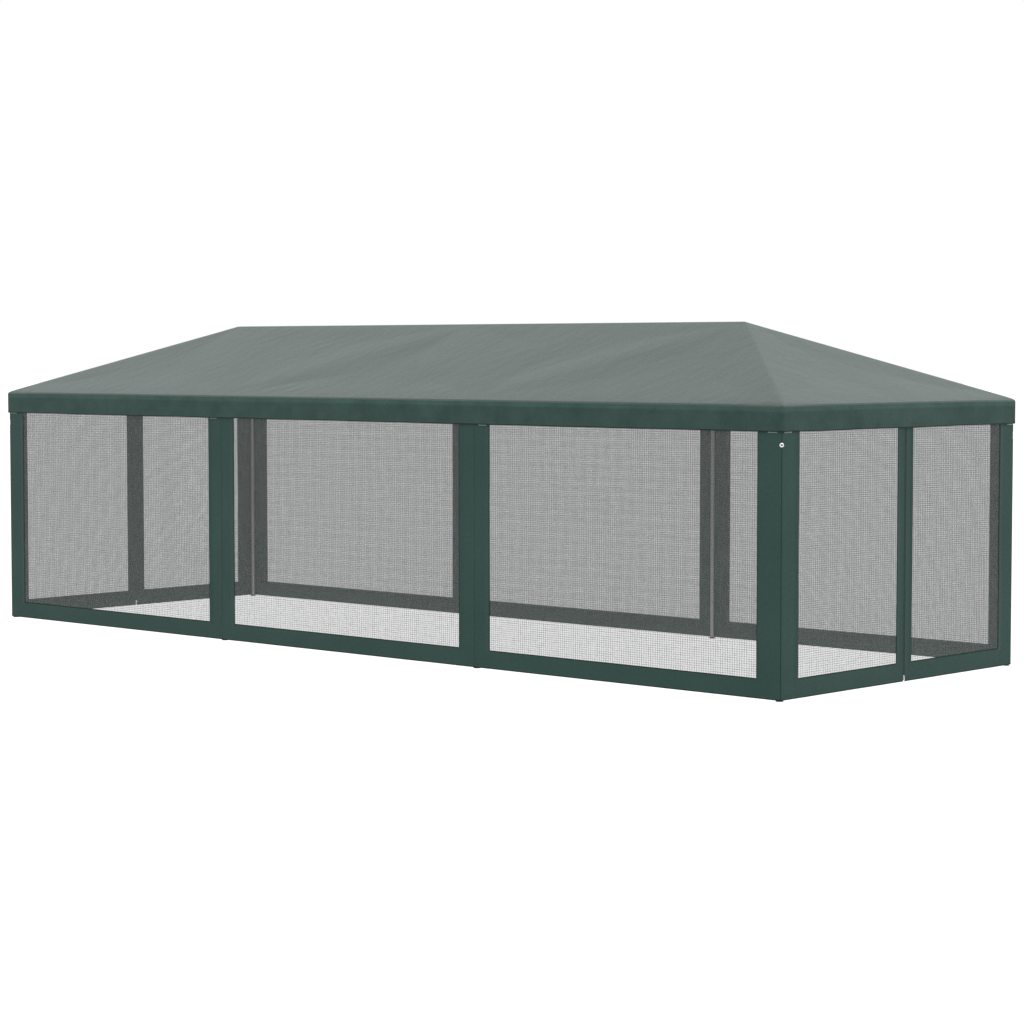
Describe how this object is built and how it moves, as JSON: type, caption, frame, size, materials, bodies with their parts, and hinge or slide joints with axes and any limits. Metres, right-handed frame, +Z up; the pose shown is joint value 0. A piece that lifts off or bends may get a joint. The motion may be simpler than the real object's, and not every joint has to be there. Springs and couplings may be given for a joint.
{
  "type": "screen house",
  "caption": "Long hip-roofed fabric shelter on a steel tube frame, walled with insect netting, with a zipped two-leaf door in each end wall.",
  "frame": {"origin": "on the ground under the middle of the roof", "axes": "+X along the length towards the near end, -Y the front long wall, +Z up"},
  "size_m": [8.479, 2.876, 2.56],
  "materials": {
    "tube_steel": "light grey powder coat",
    "connector_steel": "mid grey powder coat",
    "foot_plastic": "matt moulded plastic",
    "button_steel": "plated steel",
    "roof_fabric": "coated woven polyethylene, satin",
    "wall_fabric": "coated woven polyester, satin",
    "netting": "dark grey insect netting, open weave",
    "zip_coil": "nylon coil and tape",
    "zip_metal": "plated zinc",
    "eyelet_metal": "nickel plated",
    "strap_tape": "hook-and-loop tape"
  },
  "bodies": {
    "frame": {"canopy": "roof_fabric", "corner_connector_far_back": "connector_steel", "corner_connector_far_front": "connector_steel", "corner_connector_near_back": "connector_steel", "corner_connector_near_front": "connector_steel", "corner_leg_far_back": "tube_steel", "corner_leg_far_front": "tube_steel", "corner_leg_near_back": "tube_steel", "corner_leg_near_front": "tube_steel", "eave_beam_far_back": "tube_steel", "eave_beam_far_end": "tube_steel", "eave_beam_far_front": "tube_steel", "eave_beam_middle_back": "tube_steel", "eave_beam_middle_front": "tube_steel", "eave_beam_near_back": "tube_steel", "eave_beam_near_end": "tube_steel", "eave_beam_near_front": "tube_steel", "eyelets": "eyelet_metal", "feet": "foot_plastic", "hook_and_loop_straps": "strap_tape", "peak_connector_far": "connector_steel", "peak_connector_middle": "connector_steel", "peak_connector_near": "connector_steel", "rafters_far": "tube_steel", "rafters_middle": "tube_steel", "rafters_near": "tube_steel", "ridge_tubes": "tube_steel", "side_connector_far_back": "connector_steel", "side_connector_far_front": "connector_steel", "side_connector_near_back": "connector_steel", "side_connector_near_front": "connector_steel", "side_leg_far_back": "tube_steel", "side_leg_far_front": "tube_steel", "side_leg_near_back": "tube_steel", "side_leg_near_front": "tube_steel", "spring_buttons": "button_steel", "wall_border_back_far": "wall_fabric", "wall_border_back_middle": "wall_fabric", "wall_border_back_near": "wall_fabric", "wall_border_front_far": "wall_fabric", "wall_border_front_middle": "wall_fabric", "wall_border_front_near": "wall_fabric", "wall_netting_back": "netting", "wall_netting_front": "netting"},
    "door_near_left": {"door_border_near_left": "wall_fabric", "door_netting_near_left": "netting", "zip_half_near_left": "zip_coil"},
    "door_near_right": {"door_border_near_right": "wall_fabric", "door_netting_near_right": "netting", "zip_half_near_right": "zip_coil"},
    "slider_near": {"zip_slider_near": "zip_metal"},
    "pull_near": {"zip_pull_near": "zip_metal"},
    "door_far_left": {"door_border_far_left": "wall_fabric", "door_netting_far_left": "netting", "zip_half_far_left": "zip_coil"},
    "door_far_right": {"door_border_far_right": "wall_fabric", "door_netting_far_right": "netting", "zip_half_far_right": "zip_coil"},
    "slider_far": {"zip_slider_far": "zip_metal"},
    "pull_far": {"zip_pull_far": "zip_metal"}
  },
  "joints": [
    {"name": "door_near_left_swing", "type": "hinge", "parent": "frame", "child": "door_near_left", "pos_m": [4.227, -1.232, 0], "axis": [0, 0, 1], "range_deg": [0, 95]},
    {"name": "door_near_right_swing", "type": "hinge", "parent": "frame", "child": "door_near_right", "pos_m": [4.227, 1.232, 0], "axis": [0, 0, -1], "range_deg": [0, 95]},
    {"name": "zip_near_slide", "type": "slide", "parent": "door_near_left", "child": "slider_near", "axis": [0, 0, 1], "range_m": [0, 1.72]},
    {"name": "pull_near_flip", "type": "hinge", "parent": "slider_near", "child": "pull_near", "pos_m": [4.2327, 0.015, 0.042], "axis": [0, -1, 0], "range_deg": [0, 170]},
    {"name": "door_far_left_swing", "type": "hinge", "parent": "frame", "child": "door_far_left", "pos_m": [-4.227, 1.232, 0], "axis": [0, 0, 1], "range_deg": [0, 95]},
    {"name": "door_far_right_swing", "type": "hinge", "parent": "frame", "child": "door_far_right", "pos_m": [-4.227, -1.232, 0], "axis": [0, 0, -1], "range_deg": [0, 95]},
    {"name": "zip_far_slide", "type": "slide", "parent": "door_far_left", "child": "slider_far", "axis": [0, 0, 1], "range_m": [0, 1.72]},
    {"name": "pull_far_flip", "type": "hinge", "parent": "slider_far", "child": "pull_far", "pos_m": [-4.2327, -0.015, 0.042], "axis": [0, 1, 0], "range_deg": [0, 170]}
  ]
}
